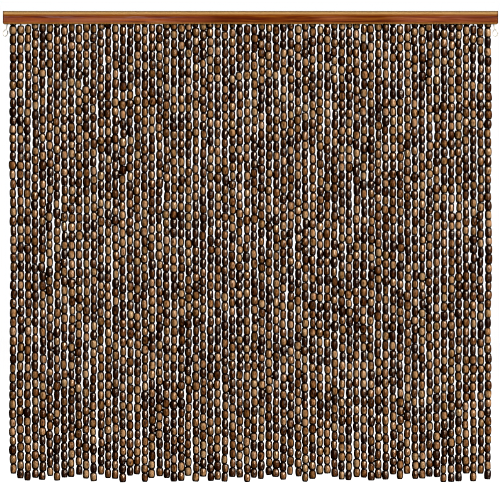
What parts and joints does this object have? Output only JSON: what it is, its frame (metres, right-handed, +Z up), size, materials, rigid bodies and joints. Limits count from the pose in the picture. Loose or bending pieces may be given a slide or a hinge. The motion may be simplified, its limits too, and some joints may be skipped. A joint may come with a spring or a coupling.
{
  "type": "bead curtain on wooden rail",
  "caption": "Door or window curtain of wooden barrel beads on threads, hanging in a row from a grooved wooden rail with a small screw eye under each end.",
  "frame": {"origin": "middle of the rail's flat back face, which lies against the wall", "axes": "+X along the rail to the right as seen from the front, +Y into the wall, +Z up; the front faces -Y"},
  "size_m": [0.9144, 0.022, 0.8701],
  "materials": {
    "rail_wood": "stained reddish brown and varnished, long straight grain",
    "bead_wood": "varnished barrel beads from near black to tan, dark ends",
    "eye_steel": "bright zinc plated wire",
    "thread": "dark twisted nylon thread"
  },
  "bodies": {
    "root": {"rail": "rail_wood", "strand_comb": "bead_wood", "screw_eye_left": "eye_steel", "screw_eye_right": "eye_steel"}
  },
  "joints": []
}
